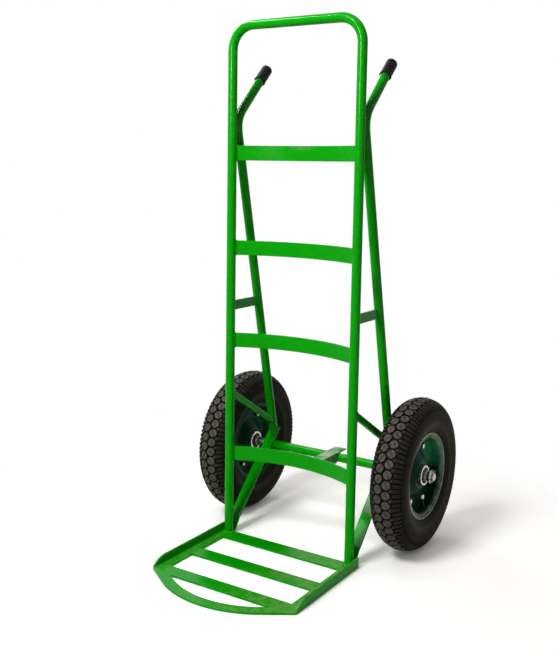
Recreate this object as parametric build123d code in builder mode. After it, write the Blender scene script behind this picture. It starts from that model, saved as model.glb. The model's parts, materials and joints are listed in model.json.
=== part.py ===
# Keg trolley: a two-wheel hand truck with a tube hoop, bowed crossbars and a slatted toe plate
import math
import os

from build123d import *

os.makedirs("parts", exist_ok=True)

# X runs across, Y runs back and Z runs up from the floor, in millimetres
# The origin is on the floor, midway between the uprights

# Clearances
weld_gap = 0.2
seat_gap = 0.1
slip_gap = 0.25

# Hoop
tube_od = 24.0
tube_wall = 2.0
upright_spacing = 370.0
hoop_height = 1350.0
hoop_bend_radius = 60.0

# Crossbars
crossbar_height = 38.0
crossbar_thickness = 5.0
crossbar_bow = 48.0
crossbar_levels = {
    "crossbar_top": 1022.0,
    "crossbar_upper": 778.0,
    "crossbar_lower": 534.0,
    "crossbar_bottom": 226.0,
}

# Toe plate
toe_thickness = 5.0
rail_outboard = 23.0
rail_width = 31.0
rail_flange_height = 25.0
rail_root_radius = 4.0
rail_front = -287.0
rail_rear = 9.0
rail_taper = 45.0
slat_places = {
    "toe_slat_rear": (-14.0, 46.0),
    "toe_slat_middle": (-149.0, 42.0),
    "toe_slat_front": (-275.0, 40.0),
}
nose_rise = 139.0
nose_bend_radius = 256.0
nose_width = 28.0

# Axle and its struts
axle_setback = 204.0
axle_od = 20.0
axle_end_chamfer = 1.5
axle_tube_length = 410.0
strut_width = 30.0
strut_foot_width = 18.0
strut_thickness = 6.0
strut_kink_setback = 30.0
strut_kink_height = 41.0
strut_bend_radius = 12.0
strut_tail = 16.0

# Rear legs and handles
leg_bend_radius = 63.5
leg_bend_level = 1088.0
leg_foot_run = 33.0
handle_angle = 45.0
handle_length = 160.0
grip_length = 50.0
grip_wall = 2.8
grip_end = 5.0
grip_edge_radius = 1.8
stay_height = 25.0
stay_thickness = 5.0
stay_level = 625.0
brace_od = 19.0
brace_wall = 1.6
brace_top_level = 394.0
brace_foot_rise = 34.0

# Bracket between the bottom crossbar and the axle tube
bracket_offset = 22.0
bracket_width = 33.0
bracket_drop = 28.0
bracket_thickness = 4.0
bracket_tail = 38.0
bracket_leg_run = 60.0

# Tyre
tyre_od = 400.0
tyre_half_width = 46.5
tyre_widest_radius = 154.0
tyre_wall = 6.5
crown_radius = 52.0
crown_depth = 11.0
bead_width = 9.5
lug_count = 48
lug_diameter = 22.0
lug_row_offset = 11.5
lug_depth = 6.0
lug_root = 4.0
lug_start = -90.0
rib_inner_edge = 24.0
rib_outer_edge = 39.0
rib_groove_width = 4.5
rib_groove_depth = 4.0
rib_groove_length = 28.0

# Rim
rim_sheet = 2.5
rim_seat_radius = 101.5
rim_seat_drop = 1.6
rim_half_width = 29.0
rim_flange_height = 10.0
rim_lip_flare = 4.3
rim_dish_depth = 18.0
rim_disc_inner = 62.0
rim_collar_radius = 36.0
rim_corner_radii = (2.5, 2.0, 5.0, 6.0, 6.0)
rim_bolt_circle = 75.0
rim_bolt_count = 4
rim_bolt_start = 62.0
bolt_diameter = 8.0
bolt_head_flats = 13.0
bolt_head_height = 5.3
bolt_tail = 2.0
nut_height = 6.5
valve_angle = -75.0
valve_offset = 15.0
valve_diameter = 8.0
valve_cap_diameter = 9.5
valve_cap_length = 14.0
valve_tip_radius = 62.0

inner_tube_skin = 2.5

# Hub and bearings
hub_od = 52.0
hub_length = 58.0
hub_core_radius = 19.5
hub_edge_chamfer = 0.8
bearing_od = 47.0
bearing_width = 14.0
bearing_recess = 0.5
bearing_ring = 3.5
bearing_shield = 1.0
bearing_ring_gap = 0.4
ball_diameter = 5.4
ball_count = 7

# What stands on the axle beside each wheel
spacer_od = 26.0
inner_spacer_length = 31.5
outer_spacer_length = 14.5
washer_od = 34.0
washer_thickness = 3.0
pin_diameter = 4.0
pin_setback = 3.5
pin_turn = 54.0
pin_eye_radius = 3.0
pin_leg = 5.0
pin_bend = 50.0
axle_stub = 5.5

# Places worked out from the sizes
upright_x = upright_spacing / 2
tube_radius = tube_od / 2
axle_z = tyre_od / 2
rail_outer_x = upright_x + rail_outboard
rail_inner_x = rail_outer_x - rail_width
bow_radius = (upright_x**2 + crossbar_bow**2) / (2 * crossbar_bow)
bow_centre_y = crossbar_bow - bow_radius
nose_slope = math.atan2(nose_rise, rail_outer_x)
axle_tube_half = axle_tube_length / 2
bearing_face = hub_length / 2 - bearing_recess
bearing_back = bearing_face - bearing_width
wheel_x = axle_tube_half + inner_spacer_length + bearing_face
outer_spacer_x = wheel_x + bearing_face
washer_x = outer_spacer_x + outer_spacer_length
pin_x = washer_x + washer_thickness + pin_setback
axle_end_x = pin_x + axle_stub

# The strut leans forward below its kink to meet the upright's foot
foot_reach = math.hypot(strut_kink_setback - tube_radius, strut_kink_height - toe_thickness)
foot_lean = math.atan2(strut_kink_setback - tube_radius, strut_kink_height - toe_thickness)
foot_lean -= math.asin((strut_thickness / 2 + weld_gap) / foot_reach)
strut_start_level = -strut_thickness
strut_start_y = strut_kink_setback - (strut_kink_height - strut_start_level) * math.tan(foot_lean)

# Above its kink the strut runs to a tangent on the axle tube
strut_standoff = tube_radius + weld_gap + strut_thickness / 2
kink_reach = math.hypot(axle_setback - strut_kink_setback, axle_z - strut_kink_height)
strut_slope = math.atan2(axle_z - strut_kink_height, axle_setback - strut_kink_setback)
strut_slope += math.asin(strut_standoff / kink_reach)
strut_along = (math.cos(strut_slope), math.sin(strut_slope))
strut_normal = (-math.sin(strut_slope), math.cos(strut_slope))
strut_touch = (
    axle_setback + strut_standoff * strut_normal[0],
    axle_z + strut_standoff * strut_normal[1],
)
strut_end_run = leg_foot_run + strut_tail
strut_end = (
    strut_touch[0] + strut_end_run * strut_along[0],
    strut_touch[1] + strut_end_run * strut_along[1],
)

# The leg lands on the strut and its bend lies against the upright
leg_landing = (
    strut_touch[0] + leg_foot_run * strut_along[0],
    strut_touch[1] + leg_foot_run * strut_along[1],
)
leg_bend_y = tube_od + weld_gap + leg_bend_radius
leg_reach = math.hypot(leg_landing[0] - leg_bend_y, leg_landing[1] - leg_bend_level)
leg_swing = math.atan2(leg_landing[1] - leg_bend_level, leg_landing[0] - leg_bend_y)
leg_tilt = math.degrees(math.pi + leg_swing - math.acos(leg_bend_radius / leg_reach))
leg_lean = math.tan(math.radians(leg_tilt))
brace_foot_level = leg_landing[1] + brace_foot_rise
handle_along = Vector(0, math.sin(math.radians(handle_angle)), math.cos(math.radians(handle_angle)))


def leg_y(level):
    """Y of the straight leg's centreline at a height."""
    return leg_landing[0] + (leg_landing[1] - level) * leg_lean


# Tyre section, worked out for its outboard half from the wheel's middle plane
tyre_radius = tyre_od / 2
tread_floor = tyre_radius - lug_depth
crown_inner = tread_floor - crown_depth
wall_inner = tyre_half_width - tyre_wall
bead_seat = rim_seat_radius + seat_gap
bead_edge = rim_half_width - seat_gap
bead_toe = bead_edge - bead_width
bead_top = bead_seat + bead_width / 2
flange_top = rim_seat_radius + rim_flange_height
rim_flange_middle = rim_half_width + rim_sheet / 2
lip_kink = flange_top - rim_lip_flare + rim_sheet * (math.sqrt(2) - 1) / 2 + slip_gap
lip_reach = rim_lip_flare + rim_sheet
lip_outer = (bead_edge + lip_reach, lip_kink + lip_reach)
valve_hole_depth = rim_seat_drop + 2 * rim_sheet
bearing_inner_radius = axle_od / 2 + bearing_ring

# Planes and axes shared by several pieces
leg_plane = Plane.YZ.offset(upright_x)
upright_plane = Plane(origin=(upright_x, 0, 0))
leg_axis_plane = Plane(
    origin=(upright_x, leg_landing[0], leg_landing[1]),
    z_dir=(0, -leg_lean, 1),
)
strut_top_plane = Plane(
    origin=(
        upright_x,
        leg_landing[0] + (strut_thickness / 2 + weld_gap) * strut_normal[0],
        leg_landing[1] + (strut_thickness / 2 + weld_gap) * strut_normal[1],
    ),
    z_dir=(0, strut_normal[0], strut_normal[1]),
)
axle_plane = Plane(origin=(0, axle_setback, axle_z), x_dir=(0, 1, 0), z_dir=(1, 0, 0))
wheel_plane = axle_plane.offset(wheel_x)
wheel_section = Plane(origin=(wheel_x, axle_setback, axle_z), x_dir=(1, 0, 0), z_dir=(0, -1, 0))
wheel_axis = Axis((wheel_x, axle_setback, axle_z), (1, 0, 0))
pin_plane = Plane(
    origin=(pin_x, axle_setback, axle_z),
    x_dir=(0, math.cos(math.radians(pin_turn)), -math.sin(math.radians(pin_turn))),
    z_dir=(1, 0, 0),
)
valve_plane = Plane(
    origin=(wheel_x + valve_offset, axle_setback, axle_z),
    x_dir=(1, 0, 0),
    z_dir=(0, math.cos(math.radians(valve_angle)), math.sin(math.radians(valve_angle))),
)

# Hoop: one tube, both uprights and the top bar
with BuildPart() as main_hoop:
    with BuildLine(Plane.XZ) as hoop_path:
        FilletPolyline(
            (-upright_x, toe_thickness),
            (-upright_x, hoop_height - tube_radius),
            (upright_x, hoop_height - tube_radius),
            (upright_x, toe_thickness),
            radius=hoop_bend_radius,
        )
    with BuildSketch(Plane(origin=hoop_path.line @ 0, z_dir=hoop_path.line % 0)):
        Circle(tube_radius)
        Circle(tube_radius - tube_wall, mode=Mode.SUBTRACT)
    sweep(path=hoop_path.line)
main_hoop.part.label = "main_hoop"
export_step(main_hoop.part, "parts/main_hoop.step")

# Crossbars: flat bars on edge, bowed back, with their ends cut to the uprights
for name, level in crossbar_levels.items():
    with BuildPart() as crossbar:
        with BuildSketch(Plane.XY.offset(level - crossbar_height / 2)):
            with BuildLine():
                ThreePointArc((-upright_x, 0), (0, crossbar_bow), (upright_x, 0))
            trace(line_width=crossbar_thickness)
        extrude(amount=crossbar_height)
        with BuildSketch(Plane.XY.offset(level - crossbar_height / 2)):
            with GridLocations(upright_spacing, 0, 2, 1):
                Circle(tube_radius + weld_gap)
        extrude(amount=crossbar_height, mode=Mode.SUBTRACT)
    crossbar.part.label = name
    export_step(crossbar.part, f"parts/{name}.step")


def draw_nose(inset):
    """Draw the rounded front of the toe ahead of the rails, smaller by an inset."""
    half = rail_outer_x - inset / math.sin(nose_slope)
    apex = rail_front - nose_rise + inset / math.cos(nose_slope)
    FilletPolyline(
        (-half, rail_front),
        (0, apex),
        (half, rail_front),
        radius=nose_bend_radius - inset,
    )
    Line((half, rail_front), (-half, rail_front))


# Toe slats: flat bars between the rails, the front one cut to the nose bar
with BuildSketch() as toe_inside:
    with BuildLine():
        draw_nose(nose_width + weld_gap)
    make_face()
    with Locations((0, rail_front)):
        Rectangle(
            2 * (rail_inner_x - weld_gap),
            rail_rear - rail_front,
            align=(Align.CENTER, Align.MIN),
        )
for name, (level, width) in slat_places.items():
    with BuildPart() as slat:
        with BuildSketch():
            with Locations((0, level)):
                Rectangle(2 * rail_outer_x, width)
            add(toe_inside.sketch, mode=Mode.INTERSECT)
        extrude(amount=toe_thickness)
    slat.part.label = name
    export_step(slat.part, f"parts/{name}.step")

# Nose bar: flat bar bent on edge, its ends cut square on the rails
with BuildPart() as toe_nose_bar:
    with BuildSketch():
        with BuildLine():
            draw_nose(0)
        make_face()
        with BuildLine():
            draw_nose(nose_width)
        make_face(mode=Mode.SUBTRACT)
        with Locations((0, rail_front - weld_gap)):
            Rectangle(2 * rail_outer_x, nose_rise, align=(Align.CENTER, Align.MAX), mode=Mode.INTERSECT)
    extrude(amount=toe_thickness)
toe_nose_bar.part.label = "toe_nose_bar"
export_step(toe_nose_bar.part, "parts/toe_nose_bar.step")

# Axle tube: welded under the struts, its bore holds the axle
with BuildPart() as axle_tube:
    with BuildSketch(axle_plane):
        Circle(tube_radius)
        Circle(axle_od / 2 + slip_gap, mode=Mode.SUBTRACT)
    extrude(amount=axle_tube_half, both=True)
axle_tube.part.label = "axle_tube"
export_step(axle_tube.part, "parts/axle_tube.step")

# Axle bracket: an angle from the bottom crossbar over the axle tube, its leg cut away towards the front
bracket_level = axle_z + tube_radius + weld_gap
bracket_low = bracket_level + bracket_thickness - bracket_drop
bracket_right_x = bracket_offset + bracket_width / 2
bracket_rear = axle_setback + bracket_tail
bracket_stop = axle_setback - tube_radius - weld_gap
with BuildPart() as axle_bracket:
    with BuildSketch(Plane.XZ.offset(-bracket_rear)):
        with Locations((bracket_right_x, bracket_level)):
            Rectangle(bracket_width, bracket_thickness, align=(Align.MAX, Align.MIN))
    extrude(amount=bracket_rear)
    with BuildSketch(Plane.YZ.offset(bracket_right_x)):
        with BuildLine():
            Polyline(
                (crossbar_bow, bracket_level),
                (bracket_stop, bracket_level),
                (bracket_stop, bracket_low),
                (bracket_stop - bracket_leg_run, bracket_low),
                close=True,
            )
        make_face()
    extrude(amount=-bracket_thickness)
    with BuildSketch(Plane.XY.offset(bracket_level - bracket_drop)):
        with Locations((0, bow_centre_y)):
            Circle(bow_radius + crossbar_thickness / 2 + weld_gap)
    extrude(amount=2 * bracket_drop, mode=Mode.SUBTRACT)
axle_bracket.part.label = "axle_bracket"
export_step(axle_bracket.part, "parts/axle_bracket.step")

# Axle shaft: one bar right through, drilled for the split pins
with BuildPart() as axle_shaft:
    with BuildSketch(axle_plane):
        Circle(axle_od / 2)
    extrude(amount=axle_end_x, both=True)
    chamfer(axle_shaft.edges().filter_by(GeomType.CIRCLE), length=axle_end_chamfer)
    for pin_side in (pin_plane, pin_plane.offset(-2 * pin_x)):
        with BuildSketch(Plane(origin=pin_side.origin, x_dir=(1, 0, 0), z_dir=pin_side.y_dir)):
            Circle(pin_diameter / 2 + slip_gap)
        extrude(amount=axle_od, both=True, mode=Mode.SUBTRACT)
axle_shaft.part.label = "axle_shaft"
export_step(axle_shaft.part, "parts/axle_shaft.step")

# Spacers and washers that stand on the axle and hold the wheels apart: start, length and diameter
axle_rings = {
    "inner_spacers": (axle_tube_half, inner_spacer_length, spacer_od),
    "hub_spacers": (wheel_x - bearing_back, 2 * bearing_back, spacer_od),
    "outer_spacers": (outer_spacer_x, outer_spacer_length, spacer_od),
    "axle_washers": (washer_x, washer_thickness, washer_od),
}
for name, (start, length, diameter) in axle_rings.items():
    with BuildPart() as ring_pair:
        with BuildSketch(axle_plane.offset(start)):
            Circle(diameter / 2)
            Circle(axle_od / 2 + seat_gap, mode=Mode.SUBTRACT)
        extrude(amount=length)
        mirror(about=Plane.YZ)
    ring_pair.part.label = name
    export_step(ring_pair.part, f"parts/{name}.step")

# Bearing rings that stay on the axle, two at each wheel
with BuildPart() as bearing_inner_rings:
    for start in (wheel_x - bearing_face, wheel_x + bearing_back):
        with BuildSketch(axle_plane.offset(start)):
            Circle(bearing_inner_radius)
            Circle(axle_od / 2 + seat_gap, mode=Mode.SUBTRACT)
        extrude(amount=bearing_width)
    mirror(about=Plane.YZ)
bearing_inner_rings.part.label = "bearing_inner_rings"
export_step(bearing_inner_rings.part, "parts/bearing_inner_rings.step")

# Split pins: an eye on one side of the axle, a shank through it and a leg bent over beyond
with BuildPart() as split_pins:
    with BuildLine(pin_plane) as pin_path:
        shank = Line((0, axle_od / 2 + pin_eye_radius), (0, -axle_od / 2))
        hook = JernArc(shank @ 1, shank % 1, radius=pin_eye_radius, arc_size=pin_bend)
        Line(hook @ 1, (hook @ 1) + (hook % 1) * pin_leg)
    with BuildSketch(Plane(origin=pin_path.line @ 0, z_dir=pin_path.line % 0)):
        Circle(pin_diameter / 2)
    sweep(path=pin_path.line)
    with Locations(pin_plane):
        with Locations((0, axle_od / 2 + 2 * pin_eye_radius)):
            Torus(pin_eye_radius, pin_diameter / 2 - slip_gap)
    mirror(about=Plane.YZ)
split_pins.part.label = "split_pins"
export_step(split_pins.part, "parts/split_pins.step")

# Right-hand pieces follow, and are mirrored to the left at the end

# Toe rail: angle iron with its flange outboard, the flange rounded down to the tip
with BuildPart() as toe_rail:
    with BuildSketch(Plane.XZ.offset(-rail_rear)):
        with Locations((rail_outer_x, 0)):
            Rectangle(rail_width, toe_thickness, align=(Align.MAX, Align.MIN))
            Rectangle(toe_thickness, rail_flange_height, align=(Align.MAX, Align.MIN))
    extrude(amount=rail_rear - rail_front)
    root_place = (rail_outer_x - toe_thickness, 0, toe_thickness)
    fillet(toe_rail.edges().sort_by_distance(root_place)[0], radius=rail_root_radius)
    with BuildSketch(Plane.YZ.offset(rail_inner_x)):
        with BuildLine():
            TangentArc(
                (rail_front + rail_taper, rail_flange_height),
                (rail_front, toe_thickness),
                tangent=(-1, 0),
            )
            Polyline(
                (rail_front, toe_thickness),
                (rail_front, rail_flange_height),
                (rail_front + rail_taper, rail_flange_height),
            )
        make_face()
    extrude(amount=rail_width, mode=Mode.SUBTRACT)

# Axle strut: flat bar, tapered to its foot behind the hoop and sloping up over the axle tube
with BuildPart() as axle_strut:
    with BuildSketch(leg_plane):
        with BuildLine():
            FilletPolyline(
                (strut_start_y, strut_start_level),
                (strut_kink_setback, strut_kink_height),
                strut_end,
                radius=strut_bend_radius,
            )
        trace(line_width=strut_thickness)
    extrude(amount=strut_width / 2, both=True)
    with BuildSketch(Plane.XZ):
        with BuildLine():
            Polyline(
                (upright_x - strut_foot_width / 2, 0),
                (upright_x + strut_foot_width / 2, 0),
                (upright_x + strut_width / 2, strut_kink_height),
                (upright_x + strut_width / 2, hoop_height),
                (upright_x - strut_width / 2, hoop_height),
                (upright_x - strut_width / 2, strut_kink_height),
                close=True,
            )
        make_face()
    extrude(amount=hoop_height, both=True, mode=Mode.INTERSECT)

# Handle and rear leg: one tube, bent where it lies against the upright, its foot cut to the strut
leg_foot_level = leg_landing[1] - tube_od
with BuildPart() as handle_leg:
    with BuildLine(leg_plane) as leg_path:
        bend = CenterArc(
            (leg_bend_y, leg_bend_level),
            leg_bend_radius,
            180 + leg_tilt,
            -(leg_tilt + handle_angle),
        )
        Line((leg_y(leg_foot_level), leg_foot_level), bend @ 0)
        handle = Line(bend @ 1, (bend @ 1) + handle_along * handle_length)
    with BuildSketch(Plane(origin=leg_path.line @ 0, z_dir=leg_path.line % 0)):
        Circle(tube_radius)
        Circle(tube_radius - tube_wall, mode=Mode.SUBTRACT)
    sweep(path=leg_path.line)
    split(bisect_by=strut_top_plane, keep=Keep.TOP)

# Grip: a sleeve with a closed end, pushed over the handle
handle_tip = handle @ 1
with BuildPart() as grip:
    with BuildSketch(Plane(origin=handle_tip + handle_along * grip_end, z_dir=-handle_along)):
        Circle(tube_radius + seat_gap + grip_wall)
    extrude(amount=grip_end + grip_length)
    fillet(grip.edges(), radius=grip_edge_radius)
    with BuildSketch(Plane(origin=handle_tip, z_dir=-handle_along)):
        Circle(tube_radius + seat_gap)
    extrude(amount=grip_length, mode=Mode.SUBTRACT)

# Upper stay: flat bar between the upright and the leg, cut to both tubes
with BuildPart() as upper_stay:
    with BuildSketch(leg_plane):
        with Locations((0, stay_level)):
            Rectangle(leg_y(stay_level), stay_height, align=(Align.MIN, Align.CENTER))
    extrude(amount=stay_thickness / 2, both=True)
    with BuildSketch(upright_plane, leg_axis_plane):
        Circle(tube_radius + weld_gap)
    extrude(amount=hoop_height, mode=Mode.SUBTRACT)

# Diagonal brace: thin tube from the upright down to the leg, cut to both tubes
brace_top = Vector(upright_x, 0, brace_top_level)
brace_foot = Vector(upright_x, leg_y(brace_foot_level), brace_foot_level)
with BuildPart() as diagonal_brace:
    with BuildSketch(Plane(origin=brace_top, z_dir=brace_foot - brace_top)):
        Circle(brace_od / 2)
        Circle(brace_od / 2 - brace_wall, mode=Mode.SUBTRACT)
    extrude(amount=(brace_foot - brace_top).length)
    with BuildSketch(upright_plane, leg_axis_plane):
        Circle(tube_radius + weld_gap)
    extrude(amount=hoop_height, mode=Mode.SUBTRACT)


def crown_level(across):
    """Radius of the tread's outside at a distance from the wheel's middle plane."""
    return tyre_radius - crown_radius + math.sqrt(crown_radius**2 - across**2)


def draw_air_space(inset):
    """Draw half of the space between the tyre and the rim, smaller all round by an inset."""
    low = (bead_toe - inset, bead_seat + inset)
    high = (bead_toe - inset, bead_top + inset)
    top = crown_inner - inset
    Polyline((0, top), (0, bead_seat + inset), low, high)
    TangentArc((wall_inner - inset, tyre_widest_radius), high, tangent=(0, -1))
    crown_rise = top - tyre_widest_radius
    EllipticalCenterArc((0, tyre_widest_radius), wall_inner - inset, crown_rise, arc_size=90)


# Tyre: a hollow carcass with a stepped crown, two rows of round lugs and grooved shoulders
rib_floor = crown_level(rib_inner_edge) - rib_groove_depth
rib_middle = (rib_inner_edge + rib_outer_edge) / 2
rib_tilt = math.degrees(math.asin(rib_middle / crown_radius))
lug_tilt = math.degrees(math.asin(lug_row_offset / crown_radius))
lug_top = tyre_radius - lug_diameter / 2 * lug_row_offset / crown_radius
lug_pitch = 360 / lug_count
with BuildPart() as tyre:
    with BuildSketch(wheel_section):
        with BuildLine():
            Polyline(
                (bead_toe, bead_seat),
                (0, bead_seat),
                (0, tread_floor),
                (rib_inner_edge, rib_floor),
                (rib_inner_edge, crown_level(rib_inner_edge)),
            )
            RadiusArc(
                (rib_inner_edge, crown_level(rib_inner_edge)),
                (rib_outer_edge, crown_level(rib_outer_edge)),
                crown_radius,
            )
            TangentArc(
                (tyre_half_width, tyre_widest_radius),
                (rib_outer_edge, crown_level(rib_outer_edge)),
                tangent=(0, 1),
            )
            TangentArc((tyre_half_width, tyre_widest_radius), lip_outer, tangent=(0, -1))
            Polyline(
                lip_outer,
                (bead_edge, lip_kink),
                (bead_edge, bead_seat + rim_sheet),
                (bead_edge - rim_sheet, bead_seat),
                (bead_toe, bead_seat),
            )
        make_face()
        with BuildLine():
            draw_air_space(0)
        make_face(mode=Mode.SUBTRACT)
        mirror(about=Plane.YZ)
    revolve(axis=wheel_axis)
    for side, start in ((1, lug_start), (-1, lug_start + lug_pitch / 2)):
        with Locations(wheel_plane.offset(side * lug_row_offset)):
            with PolarLocations(lug_top, lug_count, start):
                Cylinder(
                    lug_diameter / 2,
                    lug_depth + lug_root,
                    rotation=(0, 90 - side * lug_tilt, 0),
                    align=(Align.CENTER, Align.CENTER, Align.MAX),
                )
        with Locations(wheel_plane.offset(side * rib_middle)):
            with PolarLocations(crown_level(rib_middle), lug_count, start + lug_pitch / 2):
                Box(
                    2 * rib_groove_depth,
                    rib_groove_width,
                    rib_groove_length,
                    rotation=(0, -side * rib_tilt, 0),
                    mode=Mode.SUBTRACT,
                )

# Inner tube: a closed rubber skin that lies against the tyre
with BuildPart() as inner_tube:
    with BuildSketch(wheel_section):
        with BuildLine():
            draw_air_space(slip_gap)
        make_face()
        with BuildLine():
            draw_air_space(slip_gap + inner_tube_skin)
        make_face(mode=Mode.SUBTRACT)
        mirror(about=Plane.YZ)
    revolve(axis=wheel_axis)

# Valve stem: from the inner tube through the rim, with its cap
with BuildPart() as valve_stem:
    with BuildSketch(valve_plane.offset(valve_tip_radius)):
        Circle(valve_diameter / 2)
    extrude(amount=bead_seat - valve_tip_radius)
    with BuildSketch(valve_plane.offset(valve_tip_radius)):
        Circle(valve_cap_diameter / 2)
    extrude(amount=valve_cap_length)

# Rim: two pressed halves back to back, the outer one drilled for the valve
rim_halves = {}
for name, side in (("rim_outer", 1), ("rim_inner", -1)):
    with BuildPart() as rim_half:
        with BuildSketch(wheel_section):
            with BuildLine():
                FilletPolyline(
                    (side * (rim_flange_middle + rim_lip_flare), flange_top),
                    (side * rim_flange_middle, flange_top - rim_lip_flare),
                    (side * rim_flange_middle, rim_seat_radius - rim_sheet / 2),
                    (side * rim_sheet / 2, rim_seat_radius - rim_seat_drop - rim_sheet / 2),
                    (side * rim_sheet / 2, rim_disc_inner),
                    (side * rim_dish_depth, rim_collar_radius),
                    (side * rim_dish_depth, hub_od / 2 + weld_gap),
                    radius=rim_corner_radii,
                )
            trace(line_width=rim_sheet)
        revolve(axis=wheel_axis)
        with BuildSketch(wheel_plane):
            with PolarLocations(rim_bolt_circle, rim_bolt_count, rim_bolt_start):
                Circle(bolt_diameter / 2 + slip_gap)
        extrude(amount=side * rim_sheet, mode=Mode.SUBTRACT)
        with BuildSketch(valve_plane.offset(rim_seat_radius)):
            Circle(valve_diameter / 2 + slip_gap)
        extrude(amount=-valve_hole_depth, mode=Mode.SUBTRACT)
    rim_halves[name] = rim_half

# Rim bolts and nuts
with BuildPart() as rim_bolts:
    with BuildSketch(wheel_plane.offset(rim_sheet)):
        with PolarLocations(rim_bolt_circle, rim_bolt_count, rim_bolt_start):
            RegularPolygon(bolt_head_flats / 2, 6, major_radius=False)
    extrude(amount=bolt_head_height)
    with BuildSketch(wheel_plane.offset(rim_sheet)):
        with PolarLocations(rim_bolt_circle, rim_bolt_count, rim_bolt_start):
            Circle(bolt_diameter / 2)
    extrude(amount=-(2 * rim_sheet + nut_height + bolt_tail))
with BuildPart() as rim_nuts:
    with BuildSketch(wheel_plane.offset(-rim_sheet)):
        with PolarLocations(rim_bolt_circle, rim_bolt_count, rim_bolt_start):
            RegularPolygon(bolt_head_flats / 2, 6, major_radius=False)
            Circle(bolt_diameter / 2 + seat_gap, mode=Mode.SUBTRACT)
    extrude(amount=-nut_height)

# Hub: a turned tube with a bearing seat in each end
with BuildPart() as hub:
    with BuildSketch(wheel_plane):
        Circle(hub_od / 2)
    extrude(amount=hub_length / 2, both=True)
    chamfer(hub.edges().filter_by(GeomType.CIRCLE), length=hub_edge_chamfer)
    with BuildSketch(wheel_plane):
        Circle(hub_core_radius)
    extrude(amount=hub_length, both=True, mode=Mode.SUBTRACT)
    for seat in (bearing_back, -hub_length / 2):
        with BuildSketch(wheel_plane.offset(seat)):
            Circle(bearing_od / 2 + seat_gap)
        extrude(amount=hub_length / 2 - bearing_back, mode=Mode.SUBTRACT)

# Bearing rings that turn with the hub, each with its two shields
with BuildPart() as bearing_outer_rings:
    for start in (-bearing_face, bearing_back):
        with BuildSketch(wheel_plane.offset(start)):
            Circle(bearing_od / 2)
            Circle(bearing_inner_radius + bearing_ring_gap, mode=Mode.SUBTRACT)
        extrude(amount=bearing_width)
        with BuildSketch(wheel_plane.offset(start + bearing_shield)):
            Circle(bearing_od / 2 - bearing_ring)
        extrude(amount=bearing_width - 2 * bearing_shield, mode=Mode.SUBTRACT)

# Bearing balls, midway between the rings
ball_circle = (bearing_inner_radius + bearing_od / 2 - bearing_ring) / 2
ball_offset = (bearing_face + bearing_back) / 2
with BuildPart() as bearing_balls:
    with Locations(wheel_plane.offset(ball_offset), wheel_plane.offset(-ball_offset)):
        with PolarLocations(ball_circle, ball_count):
            Sphere(ball_diameter / 2)

# Each right-hand piece and its mirror image
paired_pieces = {
    "toe_rail": toe_rail,
    "axle_strut": axle_strut,
    "handle_leg": handle_leg,
    "grip": grip,
    "upper_stay": upper_stay,
    "diagonal_brace": diagonal_brace,
    "tyre": tyre,
    "inner_tube": inner_tube,
    "valve_stem": valve_stem,
    **rim_halves,
    "rim_bolts": rim_bolts,
    "rim_nuts": rim_nuts,
    "hub": hub,
    "bearing_outer_rings": bearing_outer_rings,
    "bearing_balls": bearing_balls,
}
for name, piece in paired_pieces.items():
    piece.part.label = f"{name}_right"
    export_step(piece.part, f"parts/{name}_right.step")
    left_piece = mirror(piece.part, about=Plane.YZ)
    left_piece.label = f"{name}_left"
    export_step(left_piece, f"parts/{name}_left.step")
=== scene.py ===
import json
import math
import random

import bmesh
import bpy
from mathutils import Matrix, Vector


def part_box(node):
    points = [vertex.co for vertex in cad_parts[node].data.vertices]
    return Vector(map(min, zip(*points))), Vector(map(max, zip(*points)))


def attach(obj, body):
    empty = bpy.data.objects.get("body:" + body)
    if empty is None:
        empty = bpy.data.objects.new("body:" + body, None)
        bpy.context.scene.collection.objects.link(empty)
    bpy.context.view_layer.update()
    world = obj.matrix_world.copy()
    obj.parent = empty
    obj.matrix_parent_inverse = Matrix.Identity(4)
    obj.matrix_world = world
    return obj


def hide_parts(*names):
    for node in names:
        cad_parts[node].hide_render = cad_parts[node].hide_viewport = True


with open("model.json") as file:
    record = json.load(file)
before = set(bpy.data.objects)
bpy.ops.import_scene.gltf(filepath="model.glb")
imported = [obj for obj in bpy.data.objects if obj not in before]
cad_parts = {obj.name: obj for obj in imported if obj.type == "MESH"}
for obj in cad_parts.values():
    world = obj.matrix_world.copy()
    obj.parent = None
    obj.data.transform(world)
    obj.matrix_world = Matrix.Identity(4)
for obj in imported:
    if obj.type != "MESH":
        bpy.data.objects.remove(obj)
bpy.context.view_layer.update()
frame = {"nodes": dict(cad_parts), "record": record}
nodes = frame["nodes"]
scene = bpy.context.scene
chance = random.Random(11)
bpy.context.view_layer.update()  # rays are cast on the nodes further down
print("frame loaded:", len(nodes), "nodes")


# Shader helpers
def tone(red, green, blue):  # a colour as a screen shows it, 0 to 255, turned to what a shader takes
    shares = [level / 255 for level in (red, green, blue)]
    return tuple(s / 12.92 if s < 0.04045 else ((s + 0.055) / 1.055) ** 2.4 for s in shares) + (1.0,)


def plug(tree, place, value):  # links a wire, or sets a plain value
    if isinstance(value, Wire):
        tree.links.new(value.socket, place)
    else:
        place.default_value = value


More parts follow.
